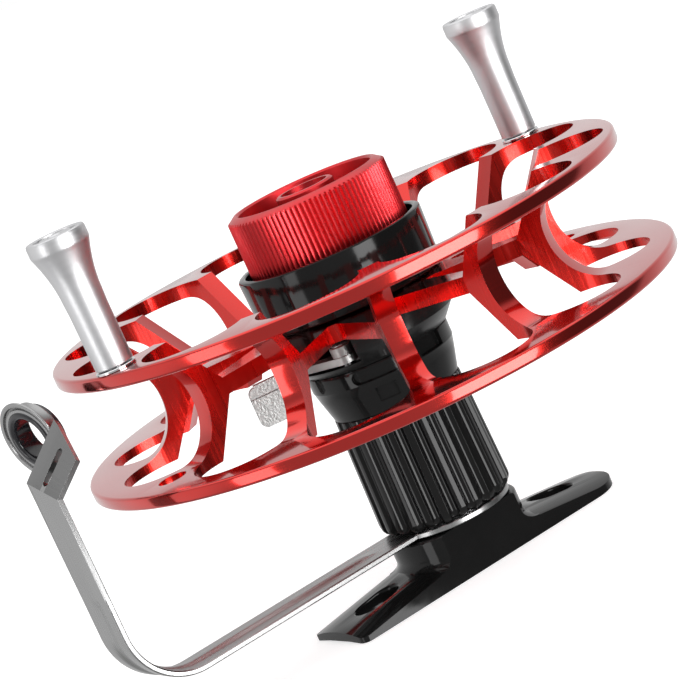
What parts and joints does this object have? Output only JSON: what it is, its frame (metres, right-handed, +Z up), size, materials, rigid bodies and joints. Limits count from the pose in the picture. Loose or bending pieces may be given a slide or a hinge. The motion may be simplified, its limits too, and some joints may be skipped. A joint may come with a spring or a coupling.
{
  "type": "wheel fishing reel",
  "caption": "Centre-pin wheel reel: open skeleton spool on an upright spindle over a slotted rod foot, with a drag knob, two grips and a bent line-guide arm.",
  "frame": {"origin": "on the spool's axis, on the flat under the foot where the rod lies", "axes": "+Z up the spindle from the rod, +X along the rod away from the line guide, +Y across the rod"},
  "size_m": [0.111, 0.1, 0.0781],
  "materials": {
    "foot": "gloss black paint over a casting",
    "spindle": "turned steel",
    "stem": "gloss black",
    "stem_housing": "black",
    "clamp_washer": "bright steel",
    "guide_arm": "stainless sheet",
    "guide_ring_frame": "stamped stainless",
    "guide_ring_insert": "hard dark ring",
    "lever_screw": "steel",
    "pawl_pin": "steel",
    "pawl_spring": "spring wire",
    "lower_bearing_inner": "ground steel",
    "upper_bearing_inner": "ground steel",
    "bearing_spacer": "turned steel",
    "drag_plate": "steel",
    "spindle_screw": "steel",
    "drag_spring": "spring wire",
    "spool": "red anodised, machined",
    "hub_collar": "gloss black",
    "click_gear": "steel",
    "lower_bearing_outer": "ground steel",
    "upper_bearing_outer": "ground steel",
    "lower_bearing_balls": "polished balls in a cage",
    "upper_bearing_balls": "polished balls in a cage",
    "drag_disc": "dark felt",
    "handle_axle_1": "steel screw",
    "handle_axle_2": "steel screw",
    "handle_washer_1": "bright steel",
    "handle_washer_2": "bright steel",
    "handle_cap_1": "turned aluminium",
    "handle_cap_2": "turned aluminium",
    "drag_knob": "red anodised, straight knurled",
    "sleeve_nut": "gloss black, fluted",
    "click_lever": "grainy silver casting",
    "click_pawl": "steel",
    "handle_grip_1": "satin turned aluminium",
    "handle_grip_2": "satin turned aluminium"
  },
  "bodies": {
    "reel_seat": {"foot": "foot", "spindle": "spindle", "stem": "stem", "stem_housing": "stem_housing", "clamp_washer": "clamp_washer", "guide_arm": "guide_arm", "guide_ring_frame": "guide_ring_frame", "guide_ring_insert": "guide_ring_insert", "lever_screw": "lever_screw", "pawl_pin": "pawl_pin", "pawl_spring": "pawl_spring", "lower_bearing_inner": "lower_bearing_inner", "upper_bearing_inner": "upper_bearing_inner", "bearing_spacer": "bearing_spacer", "drag_plate": "drag_plate", "spindle_screw": "spindle_screw", "drag_spring": "drag_spring"},
    "spool_body": {"spool": "spool", "hub_collar": "hub_collar", "click_gear": "click_gear", "lower_bearing_outer": "lower_bearing_outer", "upper_bearing_outer": "upper_bearing_outer", "lower_bearing_balls": "lower_bearing_balls", "upper_bearing_balls": "upper_bearing_balls", "drag_disc": "drag_disc", "handle_axle_1": "handle_axle_1", "handle_axle_2": "handle_axle_2", "handle_washer_1": "handle_washer_1", "handle_washer_2": "handle_washer_2", "handle_cap_1": "handle_cap_1", "handle_cap_2": "handle_cap_2"},
    "knob_body": {"drag_knob": "drag_knob"},
    "sleeve_body": {"sleeve_nut": "sleeve_nut"},
    "lever_body": {"click_lever": "click_lever"},
    "pawl_body": {"click_pawl": "click_pawl"},
    "grip_1_body": {"handle_grip_1": "handle_grip_1"},
    "grip_2_body": {"handle_grip_2": "handle_grip_2"}
  },
  "joints": [
    {"name": "spool_spin", "type": "hinge", "parent": "reel_seat", "child": "spool_body", "pos_m": [0, 0, 0.045], "axis": [0, 0, 1], "continuous": true},
    {"name": "grip_1_spin", "type": "hinge", "parent": "spool_body", "child": "grip_1_body", "pos_m": [0.04432, 0.00583, 0.067], "axis": [0, 0, 1], "continuous": true},
    {"name": "grip_2_spin", "type": "hinge", "parent": "spool_body", "child": "grip_2_body", "pos_m": [-0.04432, -0.00583, 0.067], "axis": [0, 0, 1], "continuous": true},
    {"name": "knob_turn", "type": "hinge", "parent": "reel_seat", "child": "knob_body", "pos_m": [0, 0, 0.06], "axis": [0, 0, 1], "range_deg": [-270, 270]},
    {"name": "sleeve_turn", "type": "hinge", "parent": "reel_seat", "child": "sleeve_body", "pos_m": [0, 0, 0.017], "axis": [0, 0, 1], "range_deg": [0, 720]},
    {"name": "lever_turn", "type": "hinge", "parent": "reel_seat", "child": "lever_body", "pos_m": [-0.00879, -0.00593, 0.04], "axis": [0, 0, 1], "range_deg": [0, 15]},
    {"name": "pawl_turn", "type": "hinge", "parent": "reel_seat", "child": "pawl_body", "pos_m": [-0.0041, -0.01128, 0.043], "axis": [0, 0, 1], "range_deg": [0, 9]}
  ],
  "couplings": [
    {"joint": "pawl_turn", "follows": "lever_turn", "ratio": 0.6}
  ]
}
